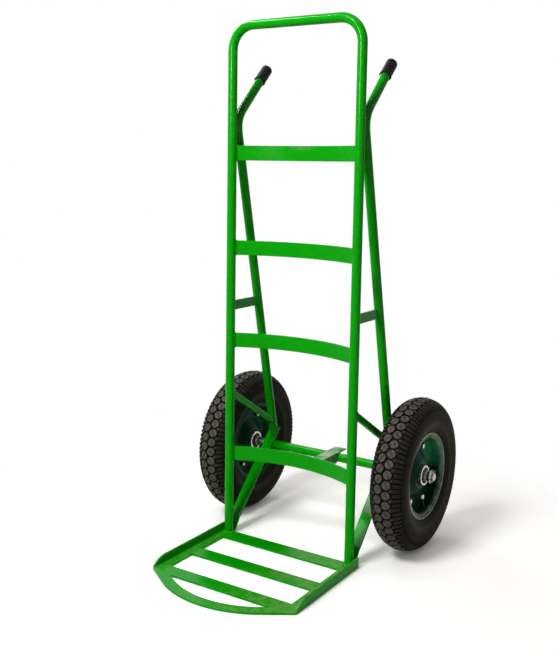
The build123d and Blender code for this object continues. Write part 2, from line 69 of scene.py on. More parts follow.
class Wire:  # one output socket, so that shader maths reads as maths
    def __init__(self, tree, socket):
        self.tree = tree
        self.socket = socket

    def maths(self, operation, first, second):
        made = self.tree.nodes.new("ShaderNodeMath")
        made.operation = operation
        plug(self.tree, made.inputs[0], first)
        plug(self.tree, made.inputs[1], second)
        return Wire(self.tree, made.outputs[0])

    def __add__(self, other):
        return self.maths("ADD", self, other)

    __radd__ = __add__

    def __sub__(self, other):
        return self.maths("SUBTRACT", self, other)

    def __rsub__(self, other):
        return self.maths("SUBTRACT", other, self)

    def __mul__(self, other):
        return self.maths("MULTIPLY", self, other)

    __rmul__ = __mul__

    def __truediv__(self, other):
        return self.maths("DIVIDE", self, other)

    def __pow__(self, other):
        return self.maths("POWER", self, other)

    def __abs__(self):
        return self.maths("ABSOLUTE", self, 0.0)


class Finish:  # the nodes of one material, or of the world
    def __init__(self, name, owner=None):
        self.owner = owner or bpy.data.materials.new(name)
        self.owner.use_nodes = True
        self.tree = self.owner.node_tree
        self.tree.nodes.clear()
        self.place = self.node("TexCoord", out="Object")

    def node(self, kind, settings=None, sockets=None, out=0):
        made = self.tree.nodes.new("ShaderNode" + kind)
        for key, value in (settings or {}).items():
            setattr(made, key, value)
        for key, value in (sockets or {}).items():
            plug(self.tree, made.inputs[key], value)
        return Wire(self.tree, made.outputs[out]) if made.outputs else None

    def noise(self, scale, detail=2.0, rough=0.5):
        return self.node("TexNoise", None, {
            "Vector": self.place, "Scale": scale, "Detail": detail, "Roughness": rough})

    def lines(self, along, detail):  # noise that changes one way only
        return self.node("TexNoise", {"noise_dimensions": "1D"}, {"W": along, "Detail": detail})

    def step(self, value, low, high):  # 0 below low, 1 above high, smooth between
        return self.node("MapRange", {"interpolation_type": "SMOOTHSTEP"}, {
            "Value": value, "From Min": low, "From Max": high})

    def mix(self, share, first, second):
        return self.node("Mix", {"data_type": "RGBA"}, {0: share, 6: first, 7: second}, out=2)

    def parts(self, vector):
        made = self.node("SeparateXYZ", None, {"Vector": vector}).socket.node
        return [Wire(self.tree, socket) for socket in made.outputs]

    def softEdges(self, radius, samples=6):
        return self.node("Bevel", {"samples": samples}, {"Radius": radius})

    def edgeShare(self, soft):  # how far a rounded edge turns away from the true face
        true = self.node("NewGeometry", out="Normal")
        return 1 - self.node("VectorMath", {"operation": "DOT_PRODUCT"}, {0: soft, 1: true}, out="Value")

    def bump(self, height, depth, strength, normal=None):
        sockets = {"Height": height, "Distance": depth, "Strength": strength}
        if normal:
            sockets["Normal"] = normal
        return self.node("Bump", None, sockets)

    def seen(self):  # 1 on rays that show the backdrop: from the camera, mirrored or through glass
        rays = self.node("LightPath").socket.node.outputs
        straight, mirrored, through = (
            Wire(self.tree, rays["Is %s Ray" % kind]) for kind in ("Camera", "Glossy", "Transmission"))
        return straight + mirrored + through

    def surface(self, sockets):
        shader = self.node("BsdfPrincipled", None, sockets)
        self.node("OutputMaterial", None, {"Surface": shader})
        return self.owner


# Mesh helpers
def placed(name, data):
    made = bpy.data.objects.new(name, data)
    scene.collection.objects.link(made)
    return made


class Shell:  # the points and faces of one piece
    def __init__(self):
        self.points = []
        self.faces = []

    def rings(self, rings, loop=False):  # skins closed rings of points, with flat ends unless they meet
        first = len(self.points)
        count = len(rings[0])
        for ring in rings:
            self.points.extend(ring)
        total = len(rings)
        for i in range(total if loop else total - 1):
            a = first + i * count
            b = first + (i + 1) % total * count
            for j in range(count):
                k = (j + 1) % count
                self.faces.append((a + j, a + k, b + k, b + j))
        if not loop:
            self.faces.append(tuple(first + j for j in reversed(range(count))))
            self.faces.append(tuple(first + (total - 1) * count + j for j in range(count)))

    def piece(self, name, material, body, sharp):
        mesh = bpy.data.meshes.new(name)
        mesh.from_pydata([tuple(p) for p in self.points], [], self.faces)
        tidy = bmesh.new()
        tidy.from_mesh(mesh)
        bmesh.ops.recalc_face_normals(tidy, faces=tidy.faces)
        tidy.to_mesh(mesh)
        tidy.free()
        mesh.materials.append(material)
        mesh.shade_smooth()
        mesh.set_sharp_from_angle(angle=math.radians(sharp))
        made = placed(name, mesh)
        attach(made, body)
        return made


sides = {"right": 1, "left": -1}


def bothSides(name):
    return [name + side for side in sides]


def paint(material, *names):
    for name in names:
        slots = nodes[name].data.materials
        slots.clear()
        slots.append(material)


def between(low, high, share):
    return low + (high - low) * share


def turned(count, start=0.0):  # angles once round
    return [start + math.tau * i / count for i in range(count)]


# Places that the frame gives
hoopLow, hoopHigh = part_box("main_hoop")
legLow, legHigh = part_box("handle_leg_right")
tubeRadius = (hoopHigh.x - hoopLow.x) / 2 - (legLow.x + legHigh.x) / 2  # legs and uprights are in line
uprightX = hoopHigh.x - tubeRadius
tyreLow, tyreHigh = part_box("tyre_right")
tyreRadius = (tyreHigh.z - tyreLow.z) / 2
tyreHalf = (tyreHigh.x - tyreLow.x) / 2
wheelX = (tyreHigh.x + tyreLow.x) / 2
axleY = (tyreHigh.y + tyreLow.y) / 2
axleZ = (tyreHigh.z + tyreLow.z) / 2
rimLow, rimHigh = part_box("rim_outer_right")
rimRadius = (rimHigh.z - rimLow.z) / 2


# Frame enamel: a glossy brushed-on green, dusty on the toe and chipped along the edges
enamelLook = {
    "deep": tone(0, 158, 2),
    "bright": tone(6, 186, 3),
    "dusty": tone(112, 172, 66),
    "bare": tone(150, 158, 140),
    "grime": tone(196, 205, 186),
    "sheen": (0.80, 1.0, 0.75, 1.0),  # a hint of green in the gloss
    "reflection": 0.09,
    "roughness": 0.15,
    "edgeRadius": 0.0011,
    "slowScale": 6.0,
    "cloudScale": 42.0,
    "fineScale": 150.0,
    "peelScale": 520.0,
    "peelDepth": 0.0006,
    "peelStrength": 0.03,
    "grimeScale": 19.0,
    "toeTop": 0.05,         # below this height upward faces are walked on
    "dustPlaces": ((1.0, 0.85, -0.03, 0.10), (-1.0, 0.5, 0.15, 0.20)),  # side, share, where it starts and is full
    "scuffHeight": 1.036,   # a rubbed patch on the middle of the top crossbar
    "scuffReach": (0.040, 0.0085),
    "scuffShare": 0.22,
    "wear": 0.12,
    "rubbedWear": 0.35,
    "bracketWear": 1.0,
}


def makeEnamel(name, wear, tube=False):  # a tube has no edges to soften
    look = enamelLook
    f = Finish(name)
    x, _, z = f.parts(f.place)
    smooth = f.node("NewGeometry", out="Normal")
    soft = f.softEdges(look["edgeRadius"])
    edge = f.edgeShare(soft)
    slow = f.noise(look["slowScale"], 3.0)
    cloud = f.noise(look["cloudScale"], 5.0, 0.62)
    peel = f.noise(look["peelScale"], 2.0)
    fine = f.noise(look["fineScale"], 4.0, 0.7)
    chips = f.step(edge, 0.015, 0.12) * f.step(cloud, 0.53, 0.63)
    low = 1 - f.step(z, look["toeTop"] * 0.7, look["toeTop"])
    trodden = low * f.step(f.parts(smooth)[2], 0.5, 0.9)
    dust = 0.0
    for side, share, start, full in look["dustPlaces"]:
        dust = f.step(x * side, start, full) * share + dust
    dust = trodden * dust * f.step(cloud * 0.7 + fine * 0.3, 0.36, 0.60)
    reachX, reachZ = look["scuffReach"]
    away = (x / reachX) ** 2.0 + ((z - look["scuffHeight"]) / reachZ) ** 2.0
    patch = (1 - f.step(away, 0.1, 1.1)) * (0.3 + 0.7 * f.step(fine, 0.38, 0.68))
    grime = f.step(f.noise(look["grimeScale"], 4.0, 0.6), 1.0 - 0.62 * wear, 1.25 - 0.62 * wear)
    colour = f.mix(slow * 0.75 + cloud * 0.25, look["deep"], look["bright"])
    colour = f.mix(dust * 0.7, colour, look["dusty"])
    colour = f.mix(patch * look["scuffShare"], colour, look["bare"])
    colour = f.mix(grime * wear, colour, look["grime"])
    colour = f.mix(chips * (0.30 + 0.5 * wear), colour, look["bare"])
    height = peel * 0.35 + cloud * 0.65
    return f.surface({
        "Base Color": colour,
        "Roughness": look["roughness"] + 0.05 * cloud + 0.2 * dust + 0.25 * patch + 0.3 * wear * grime,
        "Normal": f.bump(height, look["peelDepth"], look["peelStrength"], smooth if tube else soft),
        "Specular IOR Level": look["reflection"],
        "Specular Tint": look["sheen"],
    })


framePieces = frame["record"]["behaviour"]["bodies"]["frame"]
tubes = [name for name in framePieces if name.startswith(("main_hoop", "handle_leg", "diagonal_brace"))]
bars = [name for name in framePieces if name.startswith(("crossbar", "upper_stay", "axle_strut", "toe_"))]
enamel = makeEnamel("frameEnamel", enamelLook["wear"])
paint(enamel, *bars)
paint(makeEnamel("tubeEnamel", enamelLook["wear"], tube=True), *tubes)
paint(makeEnamel("rubbedEnamel", enamelLook["rubbedWear"]), "axle_tube")
paint(makeEnamel("wornEnamel", enamelLook["bracketWear"]), "axle_bracket")
print("frame enamel on", len(tubes) + len(bars) + 2, "nodes")


def fromAxle(f):  # distance from the axle
    _, y, z = f.parts(f.place)
    return ((y - axleY) ** 2.0 + (z - axleZ) ** 2.0) ** 0.5


def fromMiddle(f):  # how far outboard of its wheel's middle plane a place is, on either wheel
    return abs(f.parts(f.place)[0]) - wheelX


# Rim enamel: dark green, paler where the lip has been rubbed by the tyre; the barrel's pale band and two bright
# patches in the dish are painted light
rimLook = {
    "deep": tone(0, 24, 9),
    "bright": tone(6, 66, 34),
    "lip": tone(208, 212, 204),
    # the pale of the painted light on the barrel near the lip
    "barrel": tone(136, 158, 134),
    # the pale green painted into the dish as a reflection, not dust
    "dusty": tone(58, 164, 108),
    "sheen": (0.3, 1.0, 0.55, 1.0),
    "reflection": 0.10,
    "roughness": 0.36,
    "edgeRadius": 0.0012,
    "shadeScale": 11.0,
    "cloudScale": 34.0,
    "peelScale": 430.0,
    "peelDepth": 0.0005,
    "peelStrength": 0.08,
    "lipWidth": 0.0034,
    "lipMetal": 0.4,
    "barrelFoot": (0.021, 0.030),  # how far from the middle plane the painted pale band of light on the barrel starts and is full
    "dustPlaces": ((30.0, 0.80, 0.050), (206.0, 0.80, 0.046)),  # painted reflection patches in the dish, not dust: turn, how narrow, where it starts
    "sheenFade": 0.02,
    # how strongly the painted reflection patches, the painted light on the barrel and the real wear of the lip are
    # laid on
    "outerWearAndSheen": 1.0,
    "innerWearAndSheen": 0.12,
}


def towards(f, radius, turn):  # 1 on the spoke at this turn, less to either side
    _, y, z = f.parts(f.place)
    angle = math.radians(turn)
    return ((y - axleY) * math.cos(angle) + (z - axleZ) * math.sin(angle)) / radius


def makeRimEnamel(name, wear):
    look = rimLook
    f = Finish(name)
    radius = fromAxle(f)
    soft = f.softEdges(look["edgeRadius"])
    edge = f.edgeShare(soft)
    cloud = f.noise(look["cloudScale"], 4.0, 0.6)
    peel = f.noise(look["peelScale"], 2.0)
    lip = f.step(radius, rimRadius - look["lipWidth"], rimRadius - look["lipWidth"] / 2)
    # painted light: the barrel near the lip is made paler all round
    barrel = f.step(fromMiddle(f), *look["barrelFoot"]) * (0.3 + 0.7 * f.step(cloud, 0.35, 0.65))
    dust = 0.0
    # painted reflection: two bright patches in the dish, fixed to the wheel, kept under the name dust
    for turn, narrow, start in look["dustPlaces"]:
        spoke = f.step(towards(f, radius, turn), narrow, 0.995)
        dust = spoke * f.step(radius, start, start + look["sheenFade"]) + dust
    colour = f.mix(f.noise(look["shadeScale"], 3.0), look["deep"], look["bright"])
    colour = f.mix(dust * (0.55 + 0.4 * cloud) * wear, colour, look["dusty"])
    colour = f.mix(barrel * wear, colour, look["barrel"])
    colour = f.mix(lip * (0.7 + 0.3 * cloud) * wear, colour, look["lip"])
    colour = f.mix(f.step(edge, 0.03, 0.2) * 0.3 * wear, colour, look["lip"])
    return f.surface({
        "Base Color": colour,
        "Metallic": lip * look["lipMetal"] * wear,
        "Roughness": look["roughness"] + 0.1 * cloud,
        "Normal": f.bump(peel * 0.4 + cloud * 0.6, look["peelDepth"], look["peelStrength"], soft),
        "Specular IOR Level": look["reflection"],
        "Specular Tint": look["sheen"],
    })


rimEnamel = makeRimEnamel("rimEnamel", rimLook["outerWearAndSheen"])
paint(rimEnamel, *bothSides("rim_outer_"))
paint(makeRimEnamel("innerRimEnamel", rimLook["innerWearAndSheen"]), *bothSides("rim_inner_"))

# Plated and turned steel: hubs, spacers, washers, pins, the axle and the bearings
plateLook = {  # bright, stained, roughness, how fine the turned lines are
    "zincPlate": (tone(214, 214, 208), tone(140, 134, 122), 0.20, 2600.0),
    "axleSteel": (tone(176, 174, 170), tone(96, 88, 78), 0.26, 3400.0),
    "bearingSteel": (tone(206, 206, 204), tone(150, 148, 142), 0.16, 5200.0),
    "dullZinc": (tone(78, 74, 68), tone(40, 37, 33), 0.38, 2600.0),
    "pinSteel": (tone(60, 58, 56), tone(34, 31, 28), 0.34, 3400.0),
}


def makePlate(name, bright, stained, rough, lineScale):
    f = Finish(name)
    soft = f.softEdges(0.0005)
    turnedLines = f.lines(fromAxle(f) * lineScale, 3.0)
    cloud = f.noise(65.0, 4.0, 0.6)
    stain = f.step(cloud, 0.52, 0.74)
    return f.surface({
        "Base Color": f.mix(stain * 0.55, bright, stained),
        "Metallic": 1.0,
        "Roughness": rough + 0.14 * stain + 0.10 * turnedLines,
        "Normal": f.bump(turnedLines * 0.7 + cloud * 0.3, 0.0003, 0.10, soft),
    })


plates = {name: makePlate(name, *look) for name, look in plateLook.items()}
paint(plates["zincPlate"], "inner_spacers", "hub_spacers", "outer_spacers", "axle_washers", *bothSides("hub_"))
paint(plates["axleSteel"], "axle_shaft")
paint(plates["pinSteel"], "split_pins", "bearing_inner_rings")
paint(plates["bearingSteel"], *bothSides("bearing_balls_"))

sealLook = {
    "steel": tone(206, 206, 204),
    "seal": tone(16, 15, 15),
    "edge": 0.0212,     # from the axle, where the seal meets the ring
    "blur": 0.0004,
    "reflection": 0.12,
}


def makeSealedRing():  # the outer ring is bright steel, and its shield is black rubber
    look = sealLook
    f = Finish("sealedRing")
    seal = 1 - f.step(fromAxle(f), look["edge"], look["edge"] + look["blur"])
    cloud = f.noise(120.0, 3.0)
    return f.surface({
        "Base Color": f.mix(seal, look["steel"], look["seal"]),
        "Metallic": 1 - seal,
        "Roughness": 0.18 + 0.36 * seal + 0.08 * cloud,
        "Normal": f.bump(cloud, 0.0003, 0.08),
        "Specular IOR Level": look["reflection"],
    })


paint(makeSealedRing(), *bothSides("bearing_outer_rings_"))

# Rubbers of the inner tubes and the grips
rubberLook = {  # dark, worn, how fine the grain is, roughness
    "tubeRubber": (tone(34, 33, 32), tone(52, 50, 47), 320.0, 0.52),
    "gripRubber": (tone(26, 24, 27), tone(50, 45, 48), 850.0, 0.46),
}
rubberReflection = 0.07


def makeRubber(name, dark, pale, grainScale, rough):
    f = Finish(name)
    grain = f.noise(grainScale, 4.0, 0.65)
    cloud = f.noise(48.0, 4.0, 0.6)
    worn = f.step(cloud, 0.48, 0.72)
    return f.surface({
        "Base Color": f.mix(worn * 0.7, dark, pale),
        "Roughness": rough + 0.12 * worn + 0.08 * grain,
        "Normal": f.bump(grain * 0.8 + cloud * 0.2, 0.0004, 0.22),
        "Specular IOR Level": rubberReflection,
    })


rubbers = {name: makeRubber(name, *look) for name, look in rubberLook.items()}
paint(rubbers["tubeRubber"], *bothSides("inner_tube_"))
print("steel, rim and rubber finishes made")

# Tyres: two rows of round blocks, scalloped and ribbed shoulders, moulded rings on the walls
tyreLook = {
    "crownRadius": 0.052,
    "blockCount": 48,
    "blockStart": -90.0,
    "blockSides": 22,
    "rowOffset": 0.0115,
    "rowEdge": 0.0225,
    "blockTop": 0.0107,
    "blockFoot": 0.0119,
    "blockDepth": 0.0062,
    "blockRoot": 0.004,
    "blockBevel": 0.0009,
    "sipeWidth": 0.0009,
    "sipeDepth": 0.0022,
    "sipeSink": 0.0004,    # the two halves of a block go this far into its foot
    "sipeTurn": 38.0,
    "scallopGap": 0.0030,
    "stepFoot": 0.0007,    # the shoulder's edge beside the blocks: foot, top, bevel and round
    "stepTop": 0.0002,
    "stepBevel": 0.0008,
    "stepRound": 0.0011,
    "ribsPerBlock": 2,
    "ribPhases": (0.00, 0.05, 0.30, 0.55, 0.60, 0.67, 0.93),
    "ribLevels": (0.82, 1.0, 1.0, 1.0, 0.82, 0.0, 0.0),
    "ribMiddle": 0.30,
    "ribOuter": 0.039,
    "ribDepth": 0.0046,
    "ribFade": 2.6,        # points of the shoulder over which the ribs run out
    "shoulderCount": 6,
    "widestRadius": 0.154,
    "wallCount": 14,
    "lipFlare": 0.0043,
    "rimSheet": 0.0025,
    "beadGap": 0.00035,
    "beadPlay": 0.0001,
    "beadSeat": 0.1016,
    "beadWidth": 0.0095,
    "wall": 0.0065,
    "crownDepth": 0.011,
    "mouldRings": ((0.86, 0.0009), (0.60, 0.0005), (0.30, 0.0006)),  # share down the wall, height
    "dark": tone(19, 17, 14),
    "pale": tone(34, 31, 25),
    # the dark of the painted shade in the grooves, also laid on the shoulder ribs
    "recess": tone(18, 17, 15),
    "nearRim": tone(124, 118, 97),
    "scuffed": tone(116, 112, 102),
    "dusty": tone(112, 104, 92),
    "treadEdge": (0.041, 0.045),
    "reflection": 0.04,
    "grainDepth": 0.0005,
    "grainStrength": 0.30,
}


def crownLevel(across):
    radius = tyreLook["crownRadius"]
    return tyreRadius - radius + math.sqrt(radius**2 - across**2)


def arcThrough(start, end, tangent, count):  # points of the arc that leaves start along tangent
    chord = (end[0] - start[0], end[1] - start[1])
    size = math.hypot(*tangent)
    along = (tangent[0] / size, tangent[1] / size)
    normal = (-along[1], along[0])
    reach = chord[0] ** 2 + chord[1] ** 2
    radius = reach / (2 * (chord[0] * normal[0] + chord[1] * normal[1]))
    sweep = 2 * math.asin(math.sqrt(reach) / (2 * abs(radius)))
    points = []
    for i in range(1, count + 1):
        angle = sweep * i / count
        forward = abs(radius) * math.sin(angle)
        aside = radius * (1 - math.cos(angle))
        points.append((start[0] + along[0] * forward + normal[0] * aside,
                       start[1] + along[1] * forward + normal[1] * aside))
    return points


def wallArc(count):  # the outer wall from its widest place down to the rim's lip
    look = tyreLook
    rimHalf = rimHigh.x - wheelX - look["lipFlare"] - look["rimSheet"] / 2 * (1 + math.sqrt(0.5))
    lipReach = look["lipFlare"] + look["rimSheet"]
    lip = (rimHalf + lipReach, rimRadius + look["beadGap"] + look["rimSheet"] * 0.8)
    return arcThrough((tyreHalf, look["widestRadius"]), lip, (0, -1), count), rimHalf, lipReach


def sectionHalf(step, rib):  # from the middle of the tread out, round the bead and up inside
    look = tyreLook
    widest = look["widestRadius"]
    floor = tyreRadius - look["blockDepth"]
    drop = look["ribDepth"] * (1 - rib)
    floorThere = crownLevel(step) - look["ribDepth"]
    ribStart = step + look["stepRound"]
    half = [
        (0.0, floor),
        (step * 0.55, between(floor, floorThere, 0.45)),
        (step - look["stepFoot"], floorThere),
        (step + look["stepTop"], crownLevel(step) - drop - look["stepBevel"] * rib),
        (ribStart, crownLevel(ribStart) - drop),
    ]
    for share in (0.35, 0.7, 1.0):
        across = between(ribStart, look["ribOuter"], share)
        half.append((across, crownLevel(across) - drop))
    ribEnd = (look["ribOuter"], crownLevel(look["ribOuter"]))
    shoulder = arcThrough((tyreHalf, widest), ribEnd, (0, 1), look["shoulderCount"])
    for i, (across, radius) in enumerate(shoulder[-2::-1]):
        fade = max(0.0, 1 - (i + 1) / look["ribFade"])
        half.append((across - drop * fade * 0.6, radius - drop * fade * 0.7))
    half.append((tyreHalf, widest))
    wallCount = look["wallCount"]
    walls, rimHalf, lipReach = wallArc(wallCount)
    for i, (across, radius) in enumerate(walls):
        down = (i + 1) / wallCount
        rise = sum(height * max(0.0, 1 - abs(down - place) * wallCount * 0.75)
                   for place, height in look["mouldRings"])
        half.append((across + rise, radius + rise * 0.3))
    beadEdge = rimHalf - look["beadPlay"]
    beadToe = beadEdge - look["beadWidth"]
    seat, sheet = look["beadSeat"], look["rimSheet"]
    half += [(beadEdge, walls[-1][1] - lipReach), (beadEdge, seat + sheet), (beadEdge - sheet, seat)]
    half += [(beadToe, seat), (beadToe, seat + look["beadWidth"] / 2)]
    inner = tyreHalf - look["wall"]
    half += arcThrough((inner, widest), half[-1], (0, -1), 5)[-2::-1]
    half.append((inner, widest))
    rise = floor - look["crownDepth"] - widest
    for angle in (25, 50, 72, 90):
        turn = math.radians(angle)
        half.append((inner * math.cos(turn), widest + rise * math.sin(turn)))
    return half


def scallopAt(angle, start):  # how far out the shoulder starts, round the nearest block
    look = tyreLook
    pitch = math.tau / look["blockCount"]
    away = (angle - start + pitch / 2) % pitch - pitch / 2
    reach = look["blockFoot"] + look["scallopGap"]
    along = min(abs(away) * tyreRadius, reach * 0.93)
    return look["rowOffset"] + math.sqrt(reach**2 - along**2)


def wheelPoint(side, across, radius, angle):
    return Vector((side * (wheelX + across), axleY + radius * math.cos(angle), axleZ + radius * math.sin(angle)))


def spokeWays(angle):  # outward along a spoke, and round the wheel
    return Vector((0, math.cos(angle), math.sin(angle))), Vector((0, -math.sin(angle), math.cos(angle)))


def carcass(shell, side):
    look = tyreLook
    pitch = math.tau / look["blockCount"]
    start = math.radians(look["blockStart"])
    ribCount = look["blockCount"] * look["ribsPerBlock"]
    ribPitch = math.tau / ribCount
    rings = []
    for rib in range(ribCount):
        for phase, level in zip(look["ribPhases"], look["ribLevels"]):
            angle = start + (rib + phase - look["ribMiddle"]) * ribPitch
            outer = sectionHalf(scallopAt(angle, start), level)
            inner = sectionHalf(scallopAt(angle, start + pitch / 2), level)
            loop = [wheelPoint(side, across, radius, angle) for across, radius in outer]
            loop += [wheelPoint(side, -across, radius, angle) for across, radius in inner[-2:0:-1]]
            rings.append(loop)
    shell.rings(rings, loop=True)


def blockOutline(radius, cut, hand, count=11):  # half of a round block, beside its sipe
    start = math.asin(cut / radius)
    angles = [between(start, math.pi - start, i / count) for i in range(count + 1)]
    return [(radius * math.cos(a), hand * (radius * math.sin(a))) for a in angles]


def treadBlocks(shell, side):
    look = tyreLook
    foot, cap, bevel = look["blockFoot"], look["blockTop"], look["blockBevel"]
    depth, sipeDepth, cut = look["blockDepth"], look["sipeDepth"], look["sipeWidth"] / 2
    pitch = math.tau / look["blockCount"]
    tilt = math.asin(look["rowOffset"] / look["crownRadius"])
    turn = math.radians(look["sipeTurn"])
    capRadius = tyreRadius - cap * look["rowOffset"] / look["crownRadius"]
    neck = between(cap, foot, sipeDepth / depth)
    circle = [(math.cos(t), math.sin(t)) for t in turned(look["blockSides"])]
    wide, narrow = ([(size * a, size * b) for a, b in circle] for size in (foot, neck))
    for row, shift in ((1, 0.0), (-1, 0.5)):
        outboard = Vector((side * row, 0, 0))
        for i in range(look["blockCount"]):
            angle = math.radians(look["blockStart"]) + (i + shift) * pitch
            radial, around = spokeWays(angle)
            out = radial * math.cos(tilt) + outboard * math.sin(tilt)
            across = outboard * math.cos(tilt) - radial * math.sin(tilt)
            top = wheelPoint(side, row * look["rowOffset"], capRadius, angle)
            sipe = around * math.cos(turn) + across * math.sin(turn)
            beside = out.cross(sipe)

            def ring(outline, level):
                return [top + sipe * a + beside * b - out * level for a, b in outline]

            shell.rings([ring(wide, depth + look["blockRoot"]), ring(wide, depth), ring(narrow, sipeDepth)])
            for hand in (1, -1):
                shell.rings([
                    ring(blockOutline(neck, cut, hand), sipeDepth + look["sipeSink"]),
                    ring(blockOutline(cap, cut, hand), bevel * 0.8),
                    ring(blockOutline(cap - bevel, cut + bevel * 0.5, hand), 0.0),
                ])


def makeTyreRubber():
    look = tyreLook
    f = Finish("tyreRubber")
    radius = fromAxle(f)
    across = fromMiddle(f)
    level = (look["crownRadius"] ** 2 - across * across) ** 0.5 + (tyreRadius - look["crownRadius"])
    below = level - radius
    tread = 1 - f.step(abs(across), *look["treadEdge"])
    rows = 1 - f.step(abs(across), look["rowEdge"], look["rowEdge"] + 0.002)
    top = tread * (1 - f.step(below, 0.0006, 0.0030))
    # painted shade: the tread is darkened the deeper it lies below the crown
    grooveShade = tread * f.step(below, 0.0022, 0.0050)
    cloud = f.noise(26.0, 5.0, 0.62)
    grain = f.noise(900.0, 3.0, 0.6)
    speck = f.noise(240.0, 4.0, 0.7)
    nearRim = 1 - f.step(radius, rimRadius + 0.004, rimRadius + 0.042)
    scuffed = top * (0.45 + 0.55 * f.step(speck, 0.36, 0.66)) * (0.2 + 0.8 * rows)
    dust = f.step(cloud, 0.44, 0.70) * (1 - grooveShade)
    colour = f.mix(cloud, look["dark"], look["pale"])
    colour = f.mix(tread * (1 - rows) * 0.6, colour, look["recess"])  # the shoulder ribs stay darker
    colour = f.mix(nearRim * (0.35 + 0.6 * speck), colour, look["nearRim"])
    colour = f.mix(scuffed * 0.85, colour, look["scuffed"])
    colour = f.mix(dust * 0.14, colour, look["dusty"])
    # painted shade laid in the grooves
    colour = f.mix(grooveShade * 0.85, colour, look["recess"])
    height = grain * 0.45 + speck * 0.35 + f.lines(radius * 900.0, 2.0) * (1 - tread) * 0.35
    return f.surface({
        "Base Color": colour,
        "Roughness": 0.56 + 0.14 * dust - 0.08 * scuffed + 0.06 * grain,
        "Normal": f.bump(height, look["grainDepth"], look["grainStrength"]),
        "Specular IOR Level": look["reflection"],
    })


tyreRubber = makeTyreRubber()
for sideName, side in sides.items():
    shell = Shell()
    carcass(shell, side)
    treadBlocks(shell, side)
    made = shell.piece("tyre_detail_" + sideName, tyreRubber, "wheel_" + sideName, sharp=38)
    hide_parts("tyre_" + sideName)
print("tyres moulded")

# Rim bolts and nuts, chamfered, with the bolts' threaded tails
boltLook = {
    "circle": 0.075,
    "start": 62.0,
    "count": 4,
    "flats": 0.013,
    "head": 0.0053,
    "nut": 0.0065,
    "faceShare": 0.95,     # of the width across flats, the round face above the chamfer
    "chamfer": 0.577,
    "crownShare": 0.55,
    "crownRise": 0.0001,
    "shank": 0.004,
    "sheet": 0.0025,
    "tail": 0.0085,
    "tailChamfer": 0.0006,
    "threadPitch": 0.00125,
    "threadDepth": 0.0005,
    "threadShape": (0.0, 0.5, 1.0, 0.5),
}


def hexRings(height):  # a chamfered hexagon, as (radius, angle, height) round each ring
    look = boltLook
    flat = look["flats"] / 2
    face = flat * look["faceShare"]
    angles = turned(36)
    outline = [flat / math.cos((a + math.pi / 6) % (math.pi / 3) - math.pi / 6) for a in angles]
    return [
        [(r, a, 0.0) for r, a in zip(outline, angles)],
        [(r, a, height - (r - face) * look["chamfer"]) for r, a in zip(outline, angles)],
        [(face, a, height) for a in angles],
        [(face * look["crownShare"], a, height + look["crownRise"]) for a in angles],
    ]


def threadedTail():
    look = boltLook
    shape = look["threadShape"]
    steps = int(look["tail"] / look["threadPitch"] * len(shape))
    rings = []
    for i in range(steps + 1):
        radius = look["shank"] - shape[i % len(shape)] * look["threadDepth"]
        radius -= look["tailChamfer"] if i == steps else 0.0
        rings.append([(radius, a, look["tail"] * i / steps) for a in turned(20)])
    return rings


def fastener(shell, side, angle, rings, way):  # set on the outer face of the rim's sheet, or the inner one
    centre = wheelPoint(side, way * boltLook["sheet"], boltLook["circle"], angle)
    radial, around = spokeWays(angle)
    out = Vector((side * way, 0, 0))
    shell.rings([[centre + radial * (r * math.cos(a)) + around * (r * math.sin(a)) + out * h
                  for r, a, h in ring] for ring in rings])


for sideName, side in sides.items():
    bolts = Shell()
    nuts = Shell()
    for angle in turned(boltLook["count"], math.radians(boltLook["start"])):
        fastener(bolts, side, angle, hexRings(boltLook["head"]), 1)
        fastener(bolts, side, angle, threadedTail(), -1)
        fastener(nuts, side, angle, hexRings(boltLook["nut"]), -1)
    body = "wheel_" + sideName
    made = bolts.piece("rim_bolt_heads_" + sideName, plates["zincPlate"], body, sharp=25)
    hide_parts("rim_bolts_" + sideName)
    made = nuts.piece("rim_hex_nuts_" + sideName, plates["dullZinc"], body, sharp=25)
    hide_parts("rim_nuts_" + sideName)
print("rim bolts and nuts cut")

# Valve stems: black rubber with a ribbed and plated cap
valveLook = {
    "angle": -75.0,
    "offset": 0.015,
    "stem": 0.004,
    "cap": 0.00475,
    "capLength": 0.014,
    "tip": 0.062,
    "plated": 0.7,      # share of the cap's length
    "ribs": 18,
    "ribDepth": 0.0005,
    "rubber": tone(30, 28, 27),
    "plate": tone(222, 222, 214),
    "reflection": 0.22,
}


def makeValveFinish():  # the cap's end is painted dark, a painted shade for its mouth
    look = valveLook
    f = Finish("valveFinish")
    radius = fromAxle(f)
    capEnd = look["tip"] + look["capLength"] * look["plated"]
    cap = 1 - f.step(radius, capEnd, capEnd + 0.0006)
    # painted shade: the flat end of the cap is darkened as if it were a hollow mouth
    mouthShade = 1 - f.step(radius, look["tip"] + 0.0001, look["tip"] + 0.0006)
    bright = cap - mouthShade * 0.6
    cloud = f.noise(700.0, 3.0)
    return f.surface({
        "Base Color": f.mix(bright, look["rubber"], look["plate"]),
        "Metallic": bright,
        "Roughness": 0.46 - 0.22 * bright + 0.1 * cloud,
        "Normal": f.bump(cloud, 0.0003, 0.15),
        "Specular IOR Level": look["reflection"],
    })


def valveRing(side, radius, level, ribbed):
    look = valveLook
    angle = math.radians(look["angle"])
    centre = wheelPoint(side, look["offset"], level, angle)
    around = spokeWays(angle)[1]
    points = []
    for i, turn in enumerate(turned(look["ribs"] * 2)):
        reach = radius - (look["ribDepth"] if ribbed and i % 2 else 0.0)
        points.append(centre + Vector((reach * math.cos(turn), 0, 0)) + around * (reach * math.sin(turn)))
    return points


